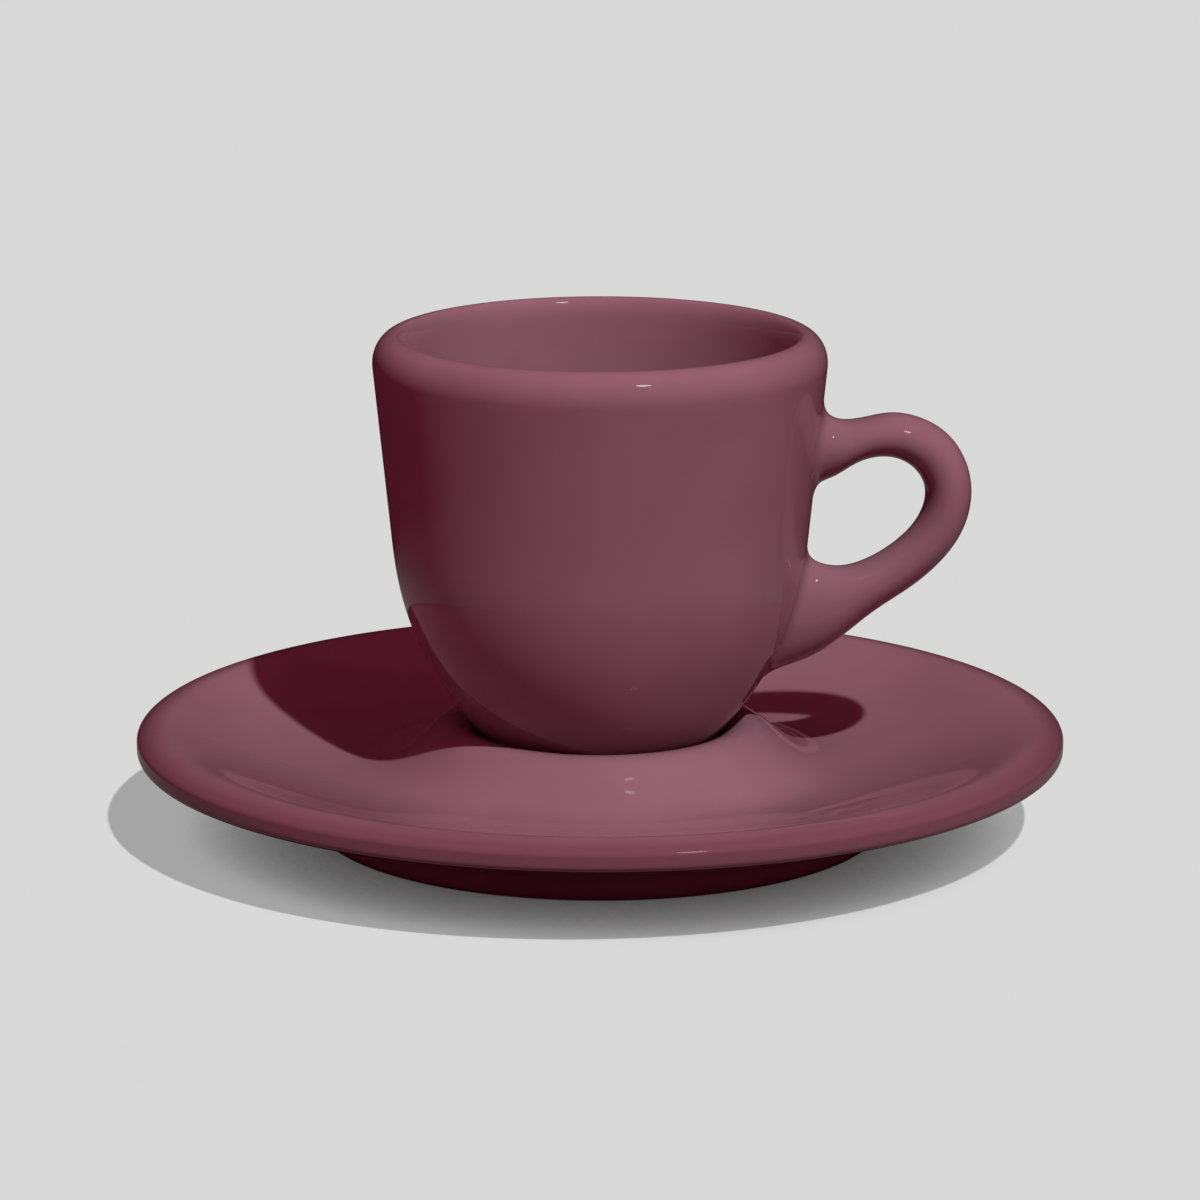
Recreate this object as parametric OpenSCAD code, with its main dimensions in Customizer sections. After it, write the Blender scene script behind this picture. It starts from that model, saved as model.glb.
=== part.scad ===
// Thick-walled espresso cup with a looped handle, standing in the raised well of its saucer.
// Millimetres, +Z up. The origin is the centre of the saucer's foot, on the table.
// +X runs from the cup's axis towards the handle.

/* [Saucer] */
// Diameter over the saucer's lip
saucer_d = 125; // [120:0.5:140]
// Height of the saucer's lip above the table
saucer_h = 14.5; // [13.8:0.1:16]
// Thickness of the lip
saucer_lip_t = 4.2; // [3.8:0.1:4.6]
// Width of the roll, from the lip's highest line out to its edge
saucer_roll_w = 3.7; // [3:0.1:4.4]
// Height of the roll, from that line down to the lip's upright face
saucer_roll_h = 1.7; // [1.3:0.1:2]
// Height of the lip's upright face
saucer_lip_face_h = 1; // [0.7:0.1:1.2]
// Diameter of the ring where the brim is lowest, outside the collar
valley_d = 66; // [62:0.5:70]
// Height of that lowest ring above the table
valley_h = 8.5; // [8:0.1:9.2]
// Height of the underside above the table, next to the foot ring
saucer_under_h = 7.2; // [6.4:0.1:7.6]

/* [Collar and well] */
// Diameter of the collar's crest, which stands round the cup's foot
collar_d = 39.6; // [38.8:0.1:42]
// Height of the collar's crest above the table
collar_h = 14.6; // [13.6:0.1:15.4]
// Height of the floor of the well above the table
well_floor_h = 10.4; // [9.8:0.1:11]
// Gap between the cup's foot and the side of the well
well_gap = 0.6; // [0.5:0.1:0.9]

/* [Saucer foot] */
// Diameter of the foot ring
saucer_foot_d = 78.8; // [77:0.2:84]
// Outer diameter of the face that the saucer stands on
saucer_rest_d = 74.4; // [71:0.2:76.4]
// Width of the face that the saucer stands on
saucer_rest_w = 1.8; // [1:0.1:3]
// Height of the rounding at the outside of the foot ring
saucer_foot_round_h = 2.6; // [1.5:0.1:3.2]
// Depth of the hollow inside the foot ring, beside the ring
saucer_hollow_h = 3.6; // [2.8:0.1:4]
// How much deeper that hollow is at its middle
saucer_hollow_rise = 1.4; // [0.8:0.1:1.8]

/* [Cup] */
// Height of the cup, from the face it stands on to the top of its lip
cup_h = 57.2; // [55:0.1:62]
// Widest diameter of the cup, over its lip
cup_d = 60.8; // [58:0.1:66]
// Thickness of the lip
lip_t = 4.8; // [4.6:0.1:5.4]
// Height of the lip's rounding
lip_round_h = 3.9; // [3:0.1:4]
// Height of the lip, down to the crease under it
lip_h = 4.1; // [4:0.1:5]
// How far the lip stands out from the wall under it
lip_bead = 0.05; // [0.05:0.05:0.4]
// How much the wall's radius shrinks from the lip down to the belly
wall_draft = 2.4; // [1.8:0.1:3]
// Height at which the straight wall turns into the belly
belly_h = 29.6; // [27:0.2:32]
// How far the belly has drawn in at the level of the foot, beyond the line of the wall
belly_draw = 11.5; // [11:0.1:12]
// Thickness of the wall
wall_t = 4.7; // [4:0.1:4.8]
// Thickness of the cup's floor
floor_t = 5; // [4:0.1:6]

/* [Cup foot] */
// Diameter of the cup's foot ring
foot_d = 30.4; // [29:0.1:31.4]
// Height of the foot ring's outer side
foot_h = 2.2; // [1.8:0.1:2.8]
// Width of the face that the cup stands on
foot_w = 2.6; // [2:0.1:3.4]
// Depth of the hollow under the cup
foot_hollow_h = 1.6; // [1:0.1:2.2]
// Size of the rounding along the foot ring's edges
foot_round = 0.6; // [0.3:0.1:0.8]

/* [Handle] */
// Reach of the handle from the cup's axis to its outermost point
handle_reach = 49.8; // [47:0.2:54]
// Thickness of the loop, seen from the side
handle_t = 6.1; // [5:0.1:6.6]
// Width of the loop, seen from its end
handle_w = 8.4; // [7:0.1:10]
// Height of the middle of the upper root above the cup's foot
upper_root_h = 41.7; // [40.6:0.1:42.2]
// Height of the middle of the lower root above the cup's foot
lower_root_h = 18.8; // [18:0.1:19.4]
// Height of the upper root, without its fillet
upper_root_t = 9.2; // [8.4:0.1:9.8]
// Height of the lower root, without its fillet
lower_root_t = 15.2; // [13.6:0.1:16]
// Size of the fillet that spreads each root over the wall
root_fillet = 2.6; // [1.8:0.1:3]
// Thickness that the edge of each root thins out to
root_edge_t = 0.2; // [0.15:0.05:0.4]
// Thickness of the slip that bonds the handle to the cup
slip_t = 0.05; // [0.04:0.01:0.08]

/* [Hidden] */
$fn = 96;
glaze = [0.42, 0.19, 0.27];

// Steps in one curve and in one wall of a profile
curve_steps = 12;
wall_steps = 28;
// Steps in one span of the handle's skin, sides of its section, and rings across a root's face
span_steps = 4;
section_sides = 24;
face_rings = 4;

saucer_r = saucer_d / 2;
saucer_foot_r = saucer_foot_d / 2;
saucer_rest_r = saucer_rest_d / 2;
collar_r = collar_d / 2;
valley_r = valley_d / 2;
cup_r = cup_d / 2;
foot_r = foot_d / 2;
well_r = foot_r + well_gap;
lip_base_h = cup_h - lip_h;
lip_crest_r = cup_r - lip_t * 0.66;
cup_floor_h = foot_hollow_h + floor_t;

// How sharply the belly draws in: 1 is a cone, and more is a fuller curve
belly_power = 2.4;

// A number or point that lies a share of the way from p to q
function between(p, q, share) = p + (q - p) * share;

// An elliptical arc about a centre, from one angle to another
function arc(centre, rx, ry, first, last) =
    [for (i = [0:curve_steps])
        let (a = between(first, last, i / curve_steps)) centre + [rx * cos(a), ry * sin(a)]];

// A cubic curve from p0 to p3, which sets off towards p1 and arrives from p2
function curve(p0, p1, p2, p3) =
    [for (i = [0:curve_steps])
        let (t = i / curve_steps, s = 1 - t)
        s * s * s * p0 + 3 * s * s * t * p1 + 3 * s * t * t * p2 + t * t * t * p3];

// A curve that leaves p0 level and arrives at p3 level, such as the flank of a ridge
function wave(p0, p3, first_share, last_share) =
    curve(p0, [between(p0.x, p3.x, first_share), p0.y], [between(p3.x, p0.x, last_share), p3.y], p3);

// The saucer's underside, from the axis out to the foot ring and on to the lip
function saucer_underside() =
    let (rest_inner_r = saucer_rest_r - saucer_rest_w,
         hollow_r = rest_inner_r - saucer_hollow_h,
         lip_under = [saucer_r - saucer_lip_t / 2, saucer_h - saucer_lip_t])
    concat(wave([0, saucer_hollow_h + saucer_hollow_rise], [hollow_r, saucer_hollow_h], 0.5, 0.3),
           wave([hollow_r, saucer_hollow_h], [rest_inner_r, 0], 0.6, 0.4),
           arc([saucer_rest_r, saucer_foot_round_h], saucer_foot_r - saucer_rest_r, saucer_foot_round_h, -90, 0),
           curve([saucer_foot_r, saucer_foot_round_h],
                 [saucer_foot_r, saucer_under_h],
                 [between(saucer_foot_r, saucer_r, 0.58), saucer_under_h],
                 lip_under));

// The saucer's top side, from the lip in over the brim and the collar to the floor of the well
function saucer_top() =
    let (lip_under = [saucer_r - saucer_lip_t / 2, saucer_h - saucer_lip_t],
         face_top_h = saucer_h - saucer_roll_h,
         face_bottom_h = face_top_h - saucer_lip_face_h,
         lip_top = [saucer_r - saucer_roll_w, saucer_h],
         valley = [valley_r, valley_h],
         crest = [collar_r, collar_h])
    concat(curve(lip_under,
                 [between(lip_under.x, saucer_r, 0.6), between(lip_under.y, face_bottom_h, 0.3)],
                 [saucer_r, between(lip_under.y, face_bottom_h, 0.4)], [saucer_r, face_bottom_h]),
           arc([lip_top.x, face_top_h], saucer_roll_w, saucer_roll_h, 0, 90),
           wave(lip_top, valley, 0.13, 0.39),
           wave(valley, crest, 0.56, 0.29),
           curve(crest, [between(crest.x, well_r, 0.48), crest.y],
                 [well_r, between(crest.y, well_floor_h, 0.3)], [well_r, well_floor_h]),
           [[0, well_floor_h]]);

module saucer() {
    color(glaze)
        rotate_extrude()
            polygon(concat(saucer_underside(), saucer_top()));
}

// Radius of the cup's outer wall at a height above the cup's foot
function wall_r(h) =
    cup_r - lip_bead
    - wall_draft * (lip_base_h - h) / (lip_base_h - belly_h)
    - belly_draw * pow(max(0, belly_h - h) / belly_h, belly_power);

// How fast that radius grows with height
function wall_slope(h) =
    wall_draft / (lip_base_h - belly_h)
    + belly_draw * belly_power / belly_h * pow(max(0, belly_h - h) / belly_h, belly_power - 1);

// The cup's underside: the hollow, the foot ring's standing face and its outer side
function cup_underside() =
    let (join_h = foot_h + foot_round,
         join = [wall_r(join_h), join_h],
         inner_r = foot_r - foot_round - foot_w)
    concat([[0, foot_hollow_h]],
           wave([inner_r - foot_hollow_h, foot_hollow_h], [inner_r, 0], 0.6, 0.3),
           arc([foot_r - foot_round, foot_round], foot_round, foot_round, -90, 0),
           curve([foot_r, foot_h - foot_round], [foot_r, foot_h],
                 join - foot_round / 2 * [wall_slope(join_h), 1], join));

// The outer wall, from above the foot ring to the crease under the lip
function cup_outside() =
    [for (i = [1:wall_steps]) let (h = between(foot_h + foot_round, lip_base_h, i / wall_steps)) [wall_r(h), h]];

// The rounded lip, from its outer edge over the crest to its inner edge
function cup_lip() =
    let (mid_h = cup_h - lip_round_h)
    concat(arc([lip_crest_r, mid_h], cup_r - lip_crest_r, lip_round_h, 0, 90),
           arc([lip_crest_r, mid_h], lip_crest_r - cup_r + lip_t, lip_round_h, 90, 180));

// The inside, from the crease under the lip down the wall to the middle of the floor
function cup_inside() =
    let (bowl_h = cup_floor_h + 2 * floor_t,
         bowl = [wall_r(bowl_h) - wall_t, bowl_h])
    concat([for (i = [0:wall_steps]) let (h = between(lip_base_h, bowl_h, i / wall_steps)) [wall_r(h) - wall_t, h]],
           curve(bowl, bowl - floor_t * [wall_slope(bowl_h), 1], [bowl.x * 0.55, cup_floor_h], [0, cup_floor_h]));

module cup_body() {
    color(glaze)
        translate([0, 0, well_floor_h])
            rotate_extrude()
                polygon(concat(cup_underside(), cup_outside(), cup_lip(), cup_inside()));
}

// The handle's sections from the upper root round to the lower one. Each row holds the place of the
// section's middle, as shares of the loop's stand-out and of the height between the roots, the
// section's thickness and width, as shares of the loop's own, and the angle that its outer side faces.
loop_shares = [
    [0.147, 0.985, 1.25, 1.06, 84],
    [0.344, 1.055, 0.93, 0.98, 78],
    [0.566, 1.09, 0.99, 0.96, 82],
    [0.81, 1.025, 1.08, 0.96, 56],
    [0.956, 0.895, 1.08, 0.97, 33],
    [1.01, 0.74, 1.065, 0.98, 4],
    [0.966, 0.565, 1.04, 0.98, -23],
    [0.82, 0.40, 1.00, 0.98, -40],
    [0.577, 0.25, 1.02, 1.00, -52],
    [0.33, 0.152, 1.09, 1.04, -66],
    [0.052, 0.012, 2.05, 1.10, -95]
];

// One section of the loop
function loop_ring(row) =
    let (wall_at_root = wall_r(upper_root_h),
         x = between(wall_at_root, handle_reach - handle_t / 2, row[0]),
         h = between(lower_root_h, upper_root_h, row[1]))
    [for (k = [0:section_sides - 1])
        let (a = 360 * k / section_sides, out = handle_t / 2 * row[2] * cos(a))
        [x + out * cos(row[4]), handle_w / 2 * row[3] * sin(a), h + out * sin(row[4])]];

// An oval on the cup's wall, lifted off it a little. Its outer side faces up for a positive height.
function root_ring(middle_h, half_h, half_w, lift) =
    [for (k = [0:section_sides - 1])
        let (a = 360 * k / section_sides, y = half_w * sin(a), h = middle_h + half_h * cos(a))
        [sqrt(pow(wall_r(h) + lift, 2) - y * y), y, h]];

// A root's oval, without its fillet and with it
function root_rings(middle_h, half_h) =
    let (side = sign(half_h), lift = slip_t + root_edge_t)
    [root_ring(middle_h, half_h, handle_w / 2, lift),
     root_ring(middle_h, half_h + side * root_fillet, handle_w / 2 + root_fillet, lift)];

// The face that beds on the wall, as ovals that grow from the middle to the edge of the fillet
function root_face(middle_h, half_h) =
    let (side = sign(half_h))
    [for (i = [1:face_rings])
        let (share = i / face_rings)
        root_ring(middle_h, (half_h + side * root_fillet) * share, (handle_w / 2 + root_fillet) * share, slip_t)];

// The ring a share of the way along the span that follows rings[i], on a smooth skin steered by the rings
function skin_ring(rings, i, share) =
    let (last = len(rings) - 1,
         before = i == 0 ? 2 * rings[0] - rings[1] : rings[i - 1],
         after = i + 2 > last ? 2 * rings[last] - rings[last - 1] : rings[i + 2],
         rest = 1 - share)
    (rest * rest * rest * before
     + (4 - 6 * share * share + 3 * share * share * share) * rings[i]
     + (4 - 6 * rest * rest + 3 * rest * rest * rest) * rings[i + 1]
     + share * share * share * after) / 6;

// The skin of the loop, from the edge of one fillet to the edge of the other
function skin(rings) =
    [for (i = [0:len(rings) - 2]) for (j = [0:span_steps - 1]) skin_ring(rings, i, j / span_steps),
     rings[len(rings) - 1]];

function backwards(list) = [for (i = [len(list) - 1:-1:0]) list[i]];

// A closed solid through a row of rings with a point in the middle of each end
module ring_solid(start, rings, end) {
    sides = len(rings[0]);
    count = len(rings);
    end_point = count * sides + 1;
    sleeve = [for (i = [0:count - 2]) for (k = [0:sides - 1])
        let (a = 1 + i * sides + k, b = 1 + i * sides + (k + 1) % sides)
        each [[a, b, b + sides], [a, b + sides, a + sides]]];
    start_fan = [for (k = [0:sides - 1]) [0, 1 + (k + 1) % sides, 1 + k]];
    end_fan = [for (k = [0:sides - 1]) [end_point, end_point - sides + k, end_point - sides + (k + 1) % sides]];
    polyhedron(points = concat([start], [for (ring = rings) each ring], [end]),
               faces = concat(start_fan, sleeve, end_fan));
}

module cup_handle() {
    upper_half = upper_root_t / 2;
    lower_half = -lower_root_t / 2;
    loops = [for (row = loop_shares) loop_ring(row)];
    steering = concat(backwards(root_rings(upper_root_h, upper_half)), loops, root_rings(lower_root_h, lower_half));
    color(glaze)
        translate([0, 0, well_floor_h])
            ring_solid([wall_r(upper_root_h) + slip_t, 0, upper_root_h],
                       concat(root_face(upper_root_h, upper_half),
                              skin(steering),
                              backwards(root_face(lower_root_h, lower_half))),
                       [wall_r(lower_root_h) + slip_t, 0, lower_root_h]);
}

saucer();
cup_body();
cup_handle();
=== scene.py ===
"""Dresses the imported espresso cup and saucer: smooth glazed meshes, a pale floor, soft light and the camera.

Sizes are in millimetres where no other unit is named, and MM turns them into metres. Heights are above the
table where nothing else is said. +X runs from the cup's axis towards the handle.
"""
import math

import bpy
import numpy as np
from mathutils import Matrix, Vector


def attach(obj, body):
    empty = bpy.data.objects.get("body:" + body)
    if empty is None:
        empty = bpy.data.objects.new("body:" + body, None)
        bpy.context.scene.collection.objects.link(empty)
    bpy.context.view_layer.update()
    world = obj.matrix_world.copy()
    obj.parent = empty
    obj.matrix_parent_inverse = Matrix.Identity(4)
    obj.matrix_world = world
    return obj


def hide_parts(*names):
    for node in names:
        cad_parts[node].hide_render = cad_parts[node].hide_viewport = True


MM = 0.001

# The saucer: its lip, with an upright face under a rolled edge
SAUCER_R = 62.5
SAUCER_H = 14.5
SAUCER_LIP_T = 4.2
SAUCER_LIP_FACE_H = 1.0
ROLL_W = 3.7
ROLL_H = 1.7
# Radius and height of the brim's lowest ring and of the collar's top, and the height of the underside
VALLEY = (33.0, 8.5)
CREST = (19.8, 14.6)
UNDER_H = 7.2
# Its foot ring: outside, outer edge and width of the standing face, rounding, and the hollow inside the ring
SAUCER_FOOT_R = 39.4
REST_R = 37.2
REST_W = 1.8
FOOT_ROUND_H = 2.6
HOLLOW_H = 3.6
HOLLOW_RISE = 1.4
# Its well: the floor that the cup stands on, and the gap round the cup's foot
WELL_FLOOR = 10.4
WELL_GAP = 0.6

# The cup, with heights above its own foot
CUP_H = 57.2
CUP_R = 30.4
LIP_T = 4.8
LIP_OUTER_SHARE = 0.66
LIP_ROUND_H = 3.9
LIP_H = 4.1
LIP_BEAD = 0.05
# The wall leans in by the draft down to the belly, which draws in further by a power of the way down
WALL_T = 4.7
WALL_DRAFT = 2.4
BELLY_H = 29.6
BELLY_DRAW = 11.5
BELLY_POWER = 2.4
CUP_FLOOR = 6.6
CUP_FLOOR_T = 5.0
BOWL_FLAT_SHARE = 0.55
FOOT_R = 15.2
FOOT_H = 2.2
FOOT_W = 2.6
FOOT_HOLLOW = 1.6
FOOT_ROUND = 0.6

# The handle, with the heights of its roots above the cup's foot
HANDLE_REACH = 49.8
HANDLE_T = 6.1
HANDLE_W = 8.4
UPPER_ROOT_H = 41.7
LOWER_ROOT_H = 18.8
UPPER_ROOT_T = 9.2
LOWER_ROOT_T = 15.2
ROOT_FILLET = 2.6
# Each root's oval stands off the wall, its fillet's edge lies just inside the wall, and its end lies deeper
ROOT_LIFT = 0.25
ROOT_SINK = 0.06
ROOT_DEPTH = 1.2
# Place along the stand-out and between the roots, thickness and width as shares, and the outer side's angle
LOOP_ROWS = (
    (0.147, 0.985, 1.25, 1.06, 84),
    (0.344, 1.055, 0.93, 0.98, 78),
    (0.566, 1.09, 0.99, 0.96, 82),
    (0.81, 1.025, 1.08, 0.96, 56),
    (0.956, 0.895, 1.08, 0.97, 33),
    (1.01, 0.74, 1.065, 0.98, 4),
    (0.966, 0.565, 1.04, 0.98, -23),
    (0.82, 0.40, 1.00, 0.98, -40),
    (0.577, 0.25, 1.02, 1.00, -52),
    (0.33, 0.152, 1.09, 1.04, -66),
    (0.052, 0.012, 2.05, 1.10, -95),
)

# How finely the meshes are cut, and how near two points are one
TURN_STEPS = 224
CURVE_STEPS = 20
WALL_STEPS = 48
SPAN_STEPS = 12
SECTION_SIDES = 64
SAME_POINT = 0.000001

# The photo's camera, found from the outlines of the saucer and the cup: focal length in pixels of the photo,
# distance from the axis, height, pitch in degrees, sensor, and how far it sees in metres
PHOTO_SIZE = 1200
FOCAL_PX = 5509
CAMERA_AWAY = 721.3
CAMERA_H = 202.1
CAMERA_PITCH = 13.34
SENSOR_MM = 36
CAMERA_SEES = 100

# The glaze: linear colours where it lies thin and where it lies deep, a darker colour over the saucer's lip
# that is painted shade, and the radii between which it turns to that last one
GLAZE_THIN = (0.208, 0.106, 0.138)
GLAZE_DEEP = (0.19, 0.096, 0.126)
GLAZE_LIP_PAINTED_SHADE = (0.132, 0.052, 0.075)
PAINTED_LIP_SHADE_FROM = 58.2
PAINTED_LIP_SHADE_TO = 61.6
# Its gloss, the shares of its roughness where it is most shiny and most dull, and its orange peel's depth
GLAZE_IOR = 1.5
GLAZE_ROUGH = 0.05
SHINY_SHARE = 0.75
DULL_SHARE = 1.3
PEEL_DEPTH = 0.004
# The clay where the glaze is wiped off: colours, roughness, and the edge with its waver, above the foot
CLAY_DARK = (0.66, 0.62, 0.56)
CLAY_PALE = (0.74, 0.71, 0.66)
CLAY_ROUGH = 0.8
EDGE_WAVER = 0.4
BARE_UP_TO = 0.42
GLAZED_FROM = 0.5
# Noise patterns: waves for each metre and how many finer ones they carry
DRIFT_NOISE = (60, 4)
PEEL_NOISE = (320, 2)
SPECK_NOISE = (900, 2)
FLOOR_NOISE = (400, 2)
# The part of the drift's range over which the colour changes, and the part over which the gloss does
DRIFT_OF_COLOUR = (0.35, 0.65)
DRIFT_OF_GLOSS = (0.3, 0.7)

# The floor's colour as the camera sees it and as it lights the object, its glow for the camera alone, and the
# shares between which its grain varies that glow
FLOOR_SEEN = (0.35, 0.35, 0.35)
FLOOR_BOUNCE = (0.24, 0.05, 0.09)
FLOOR_GLOW = 0.375
FLOOR_GRAIN_SHARES = (0.99, 1.01)
# Its colours as the gloss mirrors it, near the object and far off, and the distances in metres between them
FLOOR_MIRRORED = (0.18, 0.17, 0.17)
FLOOR_MIRRORED_FAR = (0.05, 0.006, 0.016)
MIRRORED_FROM = 0.1
MIRRORED_TO = 0.16
# The reach of its painted contact shade in metres, the openness at which that shade ends, and the samples for
# it
FLOOR_AO_REACH = 0.06
FLOOR_AO_FULL = 0.27
FLOOR_AO_SAMPLES = 16
# Half its width, in metres
FLOOR_HALF = 6.0

# The key light's level, spread in degrees and direction, which follows from the shadows in the photo. In its
# place the gloss mirrors a weak light from the same direction, the glint.
KEY_LEVEL = 3.5
KEY_SPREAD = 1.4
GLINT_LEVEL = 0.1
GLINT_SPREAD = 6
KEY_FROM = (0.38, -0.68, 1.0)
# A wide soft fill that lights only the object, so its shaded side keeps the deep wine colour of the photo
FILL_LEVEL = 1.62
FILL_SPREAD = 180
FILL_COLOUR = (1, 0.17, 0.36)
FILL_FROM = (-0.1, -0.35, 1.0)
# The level of the world as it lights the object, and as the camera sees it past the floor
WORLD_LEVEL = 0.004
WORLD_SEEN = 0.69


# Curves of a profile: lists of (radius, height)

def between(p, q, share):
    """The number that lies a share of the way from p to q."""
    return p + (q - p) * share


def arc(centre, rx, ry, first, last):
    """Part of an oval between two angles in degrees."""
    angles = np.radians(np.linspace(first, last, CURVE_STEPS + 1))
    return [(centre[0] + rx * math.cos(a), centre[1] + ry * math.sin(a)) for a in angles]


def curve(p0, p1, p2, p3):
    """A curve from p0 to p3 that leaves towards p1 and arrives from p2."""
    points = np.array([p0, p1, p2, p3], float)
    t = np.linspace(0, 1, CURVE_STEPS + 1)[:, None]
    s = 1 - t
    line = s ** 3 * points[0] + 3 * s * s * t * points[1]
    line += 3 * s * t * t * points[2] + t ** 3 * points[3]
    return [tuple(p) for p in line]


def wave(p0, p3, first_share, last_share):
    """A curve that is level at both ends, for a share of the way across at each."""
    return curve(p0, (between(p0[0], p3[0], first_share), p0[1]),
                 (between(p3[0], p0[0], last_share), p3[1]), p3)


def joined(*parts):
    """One line from several that meet end to end, with each shared point once."""
    line = []
    for part in parts:
        for p in part:
            if not line or math.dist(p, line[-1]) > SAME_POINT:
                line.append(p)
    return line


# Profiles

def saucer_profile():
    """The saucer's section, from the middle of its underside round the lip to the middle of the well."""
    lip_under = (SAUCER_R - SAUCER_LIP_T / 2, SAUCER_H - SAUCER_LIP_T)
    lip_top = (SAUCER_R - ROLL_W, SAUCER_H)
    face_top_h = SAUCER_H - ROLL_H
    face_bottom_h = face_top_h - SAUCER_LIP_FACE_H
    rest_inner = REST_R - REST_W
    hollow_r = rest_inner - HOLLOW_H
    well_r = FOOT_R + WELL_GAP
    return joined(
        wave((0, HOLLOW_H + HOLLOW_RISE), (hollow_r, HOLLOW_H), 0.5, 0.3),
        wave((hollow_r, HOLLOW_H), (rest_inner, 0), 0.6, 0.4),
        arc((REST_R, FOOT_ROUND_H), SAUCER_FOOT_R - REST_R, FOOT_ROUND_H, -90, 0),
        curve((SAUCER_FOOT_R, FOOT_ROUND_H), (SAUCER_FOOT_R, UNDER_H),
              (between(SAUCER_FOOT_R, SAUCER_R, 0.58), UNDER_H), lip_under),
        curve(lip_under,
              (between(lip_under[0], SAUCER_R, 0.6), between(lip_under[1], face_bottom_h, 0.3)),
              (SAUCER_R, between(lip_under[1], face_bottom_h, 0.4)), (SAUCER_R, face_bottom_h)),
        arc((lip_top[0], face_top_h), ROLL_W, ROLL_H, 0, 90),
        wave(lip_top, VALLEY, 0.13, 0.39),
        wave(VALLEY, CREST, 0.56, 0.29),
        curve(CREST, (between(CREST[0], well_r, 0.48), CREST[1]),
              (well_r, between(CREST[1], WELL_FLOOR, 0.3)), (well_r, WELL_FLOOR)),
        [(well_r, WELL_FLOOR), (0, WELL_FLOOR)],
    )


def wall_r(h):
    """Radius of the cup's outer wall at one height above its foot, or at an array of them."""
    lip_base = CUP_H - LIP_H
    draft = WALL_DRAFT * (lip_base - h) / (lip_base - BELLY_H)
    draw = BELLY_DRAW * (np.maximum(0, BELLY_H - h) / BELLY_H) ** BELLY_POWER
    return CUP_R - LIP_BEAD - draft - draw


def wall_slope(h):
    """How fast that radius grows with the height."""
    draw = BELLY_DRAW * BELLY_POWER / BELLY_H * (max(0, BELLY_H - h) / BELLY_H) ** (BELLY_POWER - 1)
    return WALL_DRAFT / (CUP_H - LIP_H - BELLY_H) + draw


def lip_side(run):
    """The lip's oval on one side: its half width, and the angle at which it runs into the wall.

    The run is the level distance from the lip's crest to that side of the wall.
    """
    rise = LIP_ROUND_H * WALL_DRAFT / (CUP_H - LIP_H - BELLY_H)
    half_w = math.sqrt(run ** 2 - rise ** 2)
    return half_w, math.atan2(rise, half_w)


def cup_profile():
    """The cup's section, from the middle of its underside round the lip to the middle of the bowl."""
    join_h = FOOT_H + FOOT_ROUND
    join = (wall_r(join_h), join_h)
    join_from = (join[0] - FOOT_ROUND / 2 * wall_slope(join_h), join_h - FOOT_ROUND / 2)
    foot_inner = FOOT_R - FOOT_ROUND - FOOT_W
    crest_r = CUP_R - LIP_T * LIP_OUTER_SHARE
    lip_mid_h = CUP_H - LIP_ROUND_H
    outer_half, outer_turn = lip_side(wall_r(lip_mid_h) - crest_r)
    inner_half, inner_turn = lip_side(crest_r - wall_r(lip_mid_h) + WALL_T)
    outer_top = lip_mid_h - LIP_ROUND_H * math.sin(outer_turn)
    inner_top = lip_mid_h + LIP_ROUND_H * math.sin(inner_turn)
    bowl_h = CUP_FLOOR + 2 * CUP_FLOOR_T
    bowl = (wall_r(bowl_h) - WALL_T, bowl_h)
    bowl_to = (bowl[0] - CUP_FLOOR_T * wall_slope(bowl_h), bowl_h - CUP_FLOOR_T)
    return joined(
        [(0, FOOT_HOLLOW)],
        wave((foot_inner - FOOT_HOLLOW, FOOT_HOLLOW), (foot_inner, 0), 0.6, 0.3),
        arc((FOOT_R - FOOT_ROUND, FOOT_ROUND), FOOT_ROUND, FOOT_ROUND, -90, 0),
        curve((FOOT_R, FOOT_H - FOOT_ROUND), (FOOT_R, FOOT_H), join_from, join),
        [(wall_r(h), h) for h in np.linspace(join_h, outer_top, WALL_STEPS)],
        arc((crest_r, lip_mid_h), outer_half, LIP_ROUND_H, -math.degrees(outer_turn), 90),
        arc((crest_r, lip_mid_h), inner_half, LIP_ROUND_H, 90, 180 - math.degrees(inner_turn)),
        [(wall_r(h) - WALL_T, h) for h in np.linspace(inner_top, bowl_h, WALL_STEPS)],
        curve(bowl, bowl_to, (bowl[0] * BOWL_FLAT_SHARE, CUP_FLOOR), (0, CUP_FLOOR)),
    )


# Meshes

def add(name, data):
    """A new object in the scene, with its mesh, lamp or camera."""
    made = bpy.data.objects.new(name, data)
    bpy.context.scene.collection.objects.link(made)
    return made


def closed_mesh(name, start, rings, end, lift):
    """A smooth closed skin from a point through rings of points to another point, raised by lift.

    Its faces look outwards where the rings run clockwise, seen from the start.
    """
    sides = len(rings[0])
    points = [start] + [p for ring in rings for p in ring] + [end]
    last = len(points) - 1
    faces = []
    for k in range(sides):
        n = (k + 1) % sides
        faces.append((0, 1 + n, 1 + k))
        faces.append((last, last - sides + k, last - sides + n))
        for i in range(len(rings) - 1):
            a = 1 + i * sides
            faces.append((a + k, a + n, a + sides + n, a + sides + k))
    mesh = bpy.data.meshes.new(name)
    mesh.from_pydata([(x * MM, y * MM, (z + lift) * MM) for x, y, z in points], [], faces)
    mesh.polygons.foreach_set("use_smooth", [True] * len(mesh.polygons))
    mesh.validate()
    mesh.update()
    return add(name, mesh)


def turned(name, profile, lift):
    """A solid of revolution, raised by lift, whose profile starts below and ends above, both on the axis."""
    angles = 2 * math.pi * np.arange(TURN_STEPS) / TURN_STEPS
    rings = [[(r * math.cos(a), r * math.sin(a), z) for a in angles] for r, z in profile[1:-1]]
    return closed_mesh(name, (0, 0, profile[0][1]), rings, (0, 0, profile[-1][1]), lift)


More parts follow.
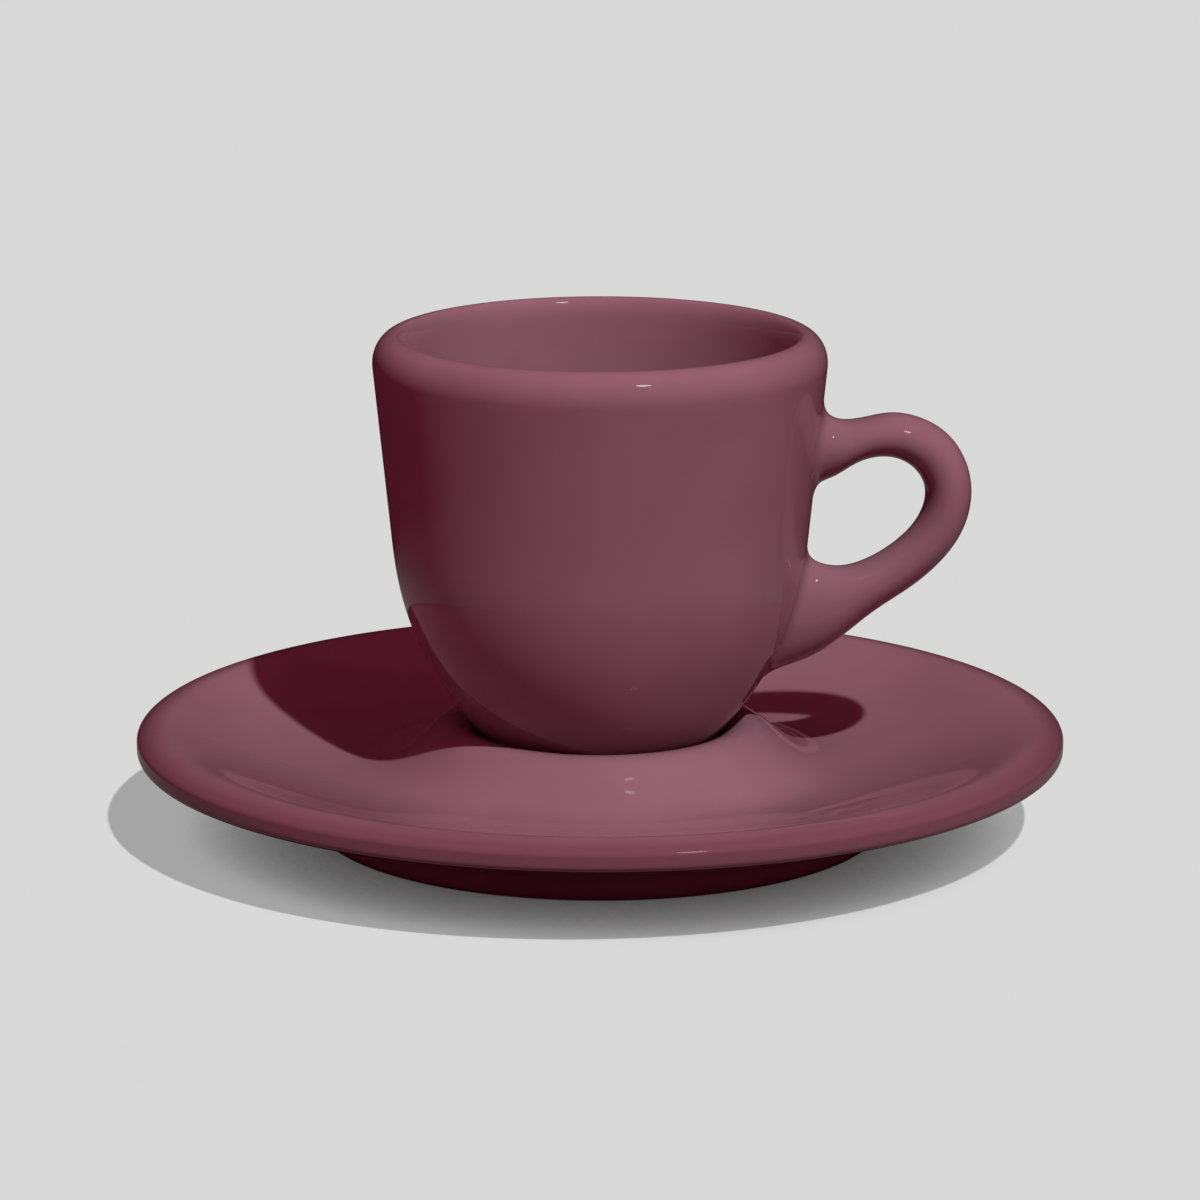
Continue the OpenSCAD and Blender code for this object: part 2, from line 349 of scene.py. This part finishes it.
def section_angles():
    """Angles round a section of the handle."""
    return 2 * np.pi * np.arange(SECTION_SIDES) / SECTION_SIDES


def loop_ring(row):
    """One section of the handle's loop, from a row of LOOP_ROWS."""
    along, up, thick, wide, facing = row
    x = between(wall_r(UPPER_ROOT_H), HANDLE_REACH - HANDLE_T / 2, along)
    h = between(LOWER_ROOT_H, UPPER_ROOT_H, up)
    a = section_angles()
    out = HANDLE_T / 2 * thick * np.cos(a)
    facing = math.radians(facing)
    y = HANDLE_W / 2 * wide * np.sin(a)
    return np.stack([x + out * math.cos(facing), y, h + out * math.sin(facing)], 1)


def root_ring(middle_h, half_h, half_w, lift):
    """An oval at a lift off the cup's wall. It starts at its top where half_h is positive, or else below."""
    a = section_angles()
    y = half_w * np.sin(a)
    h = middle_h + half_h * np.cos(a)
    return np.stack([np.sqrt((wall_r(h) + lift) ** 2 - y * y), y, h], 1)


def skin(rings):
    """A smooth skin steered by the rings, from the first to the last."""
    rings = [2 * rings[0] - rings[1]] + rings + [2 * rings[-1] - rings[-2]]
    line = []
    for i in range(1, len(rings) - 2):
        for t in np.arange(SPAN_STEPS) / SPAN_STEPS:
            s = 1 - t
            line.append((s ** 3 * rings[i - 1] + (4 - 6 * t * t + 3 * t ** 3) * rings[i]
                         + (4 - 6 * s * s + 3 * s ** 3) * rings[i + 1] + t ** 3 * rings[i + 2]) / 6)
    line.append(rings[-2])
    return line


def handle():
    """The loop, with a fillet at each root whose edge sinks into the wall's glaze."""
    half_w = HANDLE_W / 2
    upper_half = UPPER_ROOT_T / 2
    lower_half = -LOWER_ROOT_T / 2
    steering = [root_ring(UPPER_ROOT_H, upper_half + ROOT_FILLET, half_w + ROOT_FILLET, -ROOT_SINK),
                root_ring(UPPER_ROOT_H, upper_half, half_w, ROOT_LIFT)]
    steering += [loop_ring(row) for row in LOOP_ROWS]
    steering += [root_ring(LOWER_ROOT_H, lower_half, half_w, ROOT_LIFT),
                 root_ring(LOWER_ROOT_H, lower_half - ROOT_FILLET, half_w + ROOT_FILLET, -ROOT_SINK)]
    upper_end = root_ring(UPPER_ROOT_H, upper_half, half_w, -ROOT_DEPTH)
    lower_end = root_ring(LOWER_ROOT_H, lower_half, half_w, -ROOT_DEPTH)
    rings = [lower_end] + skin(steering)[::-1] + [upper_end]
    return closed_mesh("cup_handle_glazed", lower_end.mean(0), rings, upper_end.mean(0), WELL_FLOOR)


# Materials

# Places of a mix node's two inputs and its output, for each type of value
MIX_SOCKETS = {"FLOAT": (2, 3, 0), "RGBA": (6, 7, 2)}


def new_tree(name):
    """A material and its node tree, emptied."""
    material = bpy.data.materials.new(name)
    material.use_nodes = True
    material.node_tree.nodes.clear()
    return material, material.node_tree


def node(tree, kind, **values):
    """A node with some of its settings."""
    made = tree.nodes.new(kind)
    for key, value in values.items():
        setattr(made, key, value)
    return made


def feed(tree, socket, value):
    """Gives an input its value: a number, a colour or another node's output."""
    if isinstance(value, bpy.types.NodeSocket):
        tree.links.new(value, socket)
    elif isinstance(value, tuple):
        socket.default_value = (*value, 1)
    else:
        socket.default_value = value


def ramp(tree, value, from_min, from_max, to_min, to_max):
    """Carries a value from one range to another, held at its ends."""
    made = node(tree, "ShaderNodeMapRange")
    feed(tree, made.inputs["Value"], value)
    feed(tree, made.inputs["From Min"], from_min)
    feed(tree, made.inputs["From Max"], from_max)
    feed(tree, made.inputs["To Min"], to_min)
    feed(tree, made.inputs["To Max"], to_max)
    return made.outputs["Result"]


def noise(tree, place, scale, detail):
    """Soft noise between 0 and 1."""
    made = node(tree, "ShaderNodeTexNoise")
    feed(tree, made.inputs["Vector"], place)
    feed(tree, made.inputs["Scale"], scale)
    feed(tree, made.inputs["Detail"], detail)
    return made.outputs["Fac"]


def maths(tree, operation, *values):
    """The result of a sum on numbers or sockets."""
    made = node(tree, "ShaderNodeMath", operation=operation)
    for socket, value in zip(made.inputs, values):
        feed(tree, socket, value)
    return made.outputs["Value"]


def length(tree, place):
    """The distance of a place from the origin, in metres."""
    made = node(tree, "ShaderNodeVectorMath", operation="LENGTH")
    feed(tree, made.inputs[0], place)
    return made.outputs["Value"]


def mixed(tree, share, first, second, data_type="RGBA"):
    """A colour or number that lies a share of the way from the first to the second."""
    made = node(tree, "ShaderNodeMix", data_type=data_type)
    first_place, second_place, result_place = MIX_SOCKETS[data_type]
    feed(tree, made.inputs[0], share)
    feed(tree, made.inputs[first_place], first)
    feed(tree, made.inputs[second_place], second)
    return made.outputs[result_place]


def painted_lip_shade_share(tree, parts):
    """How far the glaze has turned to its painted shade over the saucer's lip, by the distance from the axis.
    """
    level_place = node(tree, "ShaderNodeCombineXYZ")
    feed(tree, level_place.inputs["X"], parts["X"])
    feed(tree, level_place.inputs["Y"], parts["Y"])
    reach = length(tree, level_place.outputs["Vector"])
    return ramp(tree, reach, PAINTED_LIP_SHADE_FROM * MM, PAINTED_LIP_SHADE_TO * MM, 0, 1)


def bare_share(tree, parts, drift, stands_at):
    """Where the clay is bare: on the foot's standing face, up to an edge that wavers a little."""
    edge = maths(tree, "MULTIPLY_ADD", drift, EDGE_WAVER * MM, parts["Z"])
    return ramp(tree, edge, (stands_at + BARE_UP_TO) * MM, (stands_at + GLAZED_FROM) * MM, 1, 0)


def glaze(name, stands_at):
    """Gloss glaze that drifts a little in depth, with painted shade over the saucer's lip, wiped off the face
    that the piece stands on.
    """
    material, tree = new_tree(name)
    place = node(tree, "ShaderNodeTexCoord").outputs["Object"]
    split = node(tree, "ShaderNodeSeparateXYZ")
    feed(tree, split.inputs["Vector"], place)
    drift = noise(tree, place, *DRIFT_NOISE)
    specks = noise(tree, place, *SPECK_NOISE)
    bare = bare_share(tree, split.outputs, drift, stands_at)

    tint = mixed(tree, ramp(tree, drift, *DRIFT_OF_COLOUR, 0, 1), GLAZE_DEEP, GLAZE_THIN)
    # Painted shade: the glaze turns darker over the saucer's lip, whose face is turned from the light
    tint = mixed(tree, painted_lip_shade_share(tree, split.outputs), tint, GLAZE_LIP_PAINTED_SHADE)
    clay = mixed(tree, specks, CLAY_DARK, CLAY_PALE)
    gloss = ramp(tree, drift, *DRIFT_OF_GLOSS, GLAZE_ROUGH * SHINY_SHARE, GLAZE_ROUGH * DULL_SHARE)

    # Soft orange peel in the glaze, and fine grain in the bare clay
    grain = maths(tree, "MULTIPLY", specks, bare)
    bump = node(tree, "ShaderNodeBump")
    feed(tree, bump.inputs["Strength"], 1)
    feed(tree, bump.inputs["Distance"], PEEL_DEPTH * MM)
    feed(tree, bump.inputs["Height"], maths(tree, "ADD", noise(tree, place, *PEEL_NOISE), grain))

    shader = node(tree, "ShaderNodeBsdfPrincipled")
    feed(tree, shader.inputs["Base Color"], mixed(tree, bare, tint, clay))
    feed(tree, shader.inputs["Roughness"], mixed(tree, bare, gloss, CLAY_ROUGH, "FLOAT"))
    feed(tree, shader.inputs["IOR"], GLAZE_IOR)
    feed(tree, shader.inputs["Normal"], bump.outputs["Normal"])
    out = node(tree, "ShaderNodeOutputMaterial")
    feed(tree, out.inputs["Surface"], shader.outputs["BSDF"])
    return material


def floor_material():
    """Pale grey floor that takes the object's shadow. The camera alone sees its glow, which fades near it as
    painted contact shade.
    """
    material, tree = new_tree("pale_floor")
    light_path = node(tree, "ShaderNodeLightPath")
    seen = light_path.outputs["Is Camera Ray"]
    place = node(tree, "ShaderNodeTexCoord").outputs["Object"]

    far = ramp(tree, length(tree, place), MIRRORED_FROM, MIRRORED_TO, 0, 1)
    patch = mixed(tree, far, FLOOR_MIRRORED, FLOOR_MIRRORED_FAR)
    unseen = mixed(tree, light_path.outputs["Is Glossy Ray"], FLOOR_BOUNCE, patch)
    diffuse = node(tree, "ShaderNodeBsdfDiffuse")
    feed(tree, diffuse.inputs["Color"], mixed(tree, seen, unseen, FLOOR_SEEN))

    # Painted contact shade: the camera's glow fades where the floor is hemmed in near the object
    openness = node(tree, "ShaderNodeAmbientOcclusion", samples=FLOOR_AO_SAMPLES)
    feed(tree, openness.inputs["Distance"], FLOOR_AO_REACH)
    level = ramp(tree, openness.outputs["AO"], 0, FLOOR_AO_FULL, 0, FLOOR_GLOW)
    grain = ramp(tree, noise(tree, place, *FLOOR_NOISE), 0, 1, *FLOOR_GRAIN_SHARES)
    glow = node(tree, "ShaderNodeEmission")
    seen_level = maths(tree, "MULTIPLY", level, seen)
    feed(tree, glow.inputs["Strength"], maths(tree, "MULTIPLY", seen_level, grain))

    both = node(tree, "ShaderNodeAddShader")
    feed(tree, both.inputs[0], diffuse.outputs["BSDF"])
    feed(tree, both.inputs[1], glow.outputs["Emission"])
    out = node(tree, "ShaderNodeOutputMaterial")
    feed(tree, out.inputs["Surface"], both.outputs["Shader"])
    return material


# Stage

def make_camera():
    """The camera of the photo, which looks along +Y and a little down."""
    camera = add("camera", bpy.data.cameras.new("camera"))
    bpy.context.scene.camera = camera
    camera.data.sensor_width = SENSOR_MM
    camera.data.lens = FOCAL_PX * SENSOR_MM / PHOTO_SIZE
    camera.data.clip_end = CAMERA_SEES
    camera.location = (0, -CAMERA_AWAY * MM, CAMERA_H * MM)
    camera.rotation_euler = (math.radians(90 - CAMERA_PITCH), 0, 0)


def make_stage():
    """A square floor, wide enough to have no edge in the picture."""
    mesh = bpy.data.meshes.new("floor")
    s = FLOOR_HALF
    mesh.from_pydata([(-s, -s, 0), (s, -s, 0), (s, s, 0), (-s, s, 0)], [], [(0, 1, 2, 3)])
    mesh.materials.append(floor_material())
    floor = add("floor", mesh)


def sun(name, level, spread, comes_from):
    """A far lamp that shines from the direction comes_from."""
    lamp = add(name, bpy.data.lights.new(name, "SUN"))
    lamp.data.energy = level
    lamp.data.angle = math.radians(spread)
    lamp.rotation_euler = (-Vector(comes_from)).to_track_quat("-Z", "Y").to_euler()
    return lamp


def make_world():
    """An even white world, far paler to the camera than as a light."""
    world = bpy.data.worlds.new("studio")
    bpy.context.scene.world = world
    world.use_nodes = True
    tree = world.node_tree
    background = tree.nodes["Background"]
    feed(tree, background.inputs["Color"], (1, 1, 1))
    seen = node(tree, "ShaderNodeLightPath").outputs["Is Camera Ray"]
    feed(tree, background.inputs["Strength"], ramp(tree, seen, 0, 1, WORLD_LEVEL, WORLD_SEEN))


def make_lights(lit_pieces):
    """The key light, its glint in the gloss, and the fill that reaches only the pieces."""
    key = sun("key", KEY_LEVEL, KEY_SPREAD, KEY_FROM)
    key.visible_glossy = False
    sun("glint", GLINT_LEVEL, GLINT_SPREAD, KEY_FROM)
    fill = sun("fill", FILL_LEVEL, FILL_SPREAD, FILL_FROM)
    fill.data.color = FILL_COLOUR
    fill.visible_glossy = False
    lit = bpy.data.collections.new("lit_by_fill")
    for piece in lit_pieces:
        lit.objects.link(piece)
    fill.light_linking.receiver_collection = lit


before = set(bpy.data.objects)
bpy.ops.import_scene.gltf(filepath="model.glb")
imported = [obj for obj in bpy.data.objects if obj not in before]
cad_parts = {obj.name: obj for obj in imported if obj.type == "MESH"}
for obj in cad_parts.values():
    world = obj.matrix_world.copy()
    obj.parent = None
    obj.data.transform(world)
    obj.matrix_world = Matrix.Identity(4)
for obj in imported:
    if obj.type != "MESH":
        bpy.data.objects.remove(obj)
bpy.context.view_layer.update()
make_camera()

saucer = turned("saucer_glazed", saucer_profile(), 0)
cup = turned("cup_body_glazed", cup_profile(), WELL_FLOOR)
loop = handle()

glazes = {"saucer_glaze": glaze("saucer_glaze", 0), "cup_glaze": glaze("cup_glaze", WELL_FLOOR)}
for piece, node_name, body, slot in ((saucer, "saucer", "saucer", "saucer_glaze"),
                                     (cup, "cup_body", "cup", "cup_glaze"),
                                     (loop, "cup_handle", "cup", "cup_glaze")):
    piece.data.materials.append(glazes[slot])
    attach(piece, body)
    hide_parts(node_name)

make_stage()
make_world()
make_lights((saucer, cup, loop))
bpy.context.scene.view_settings.view_transform = "Standard"
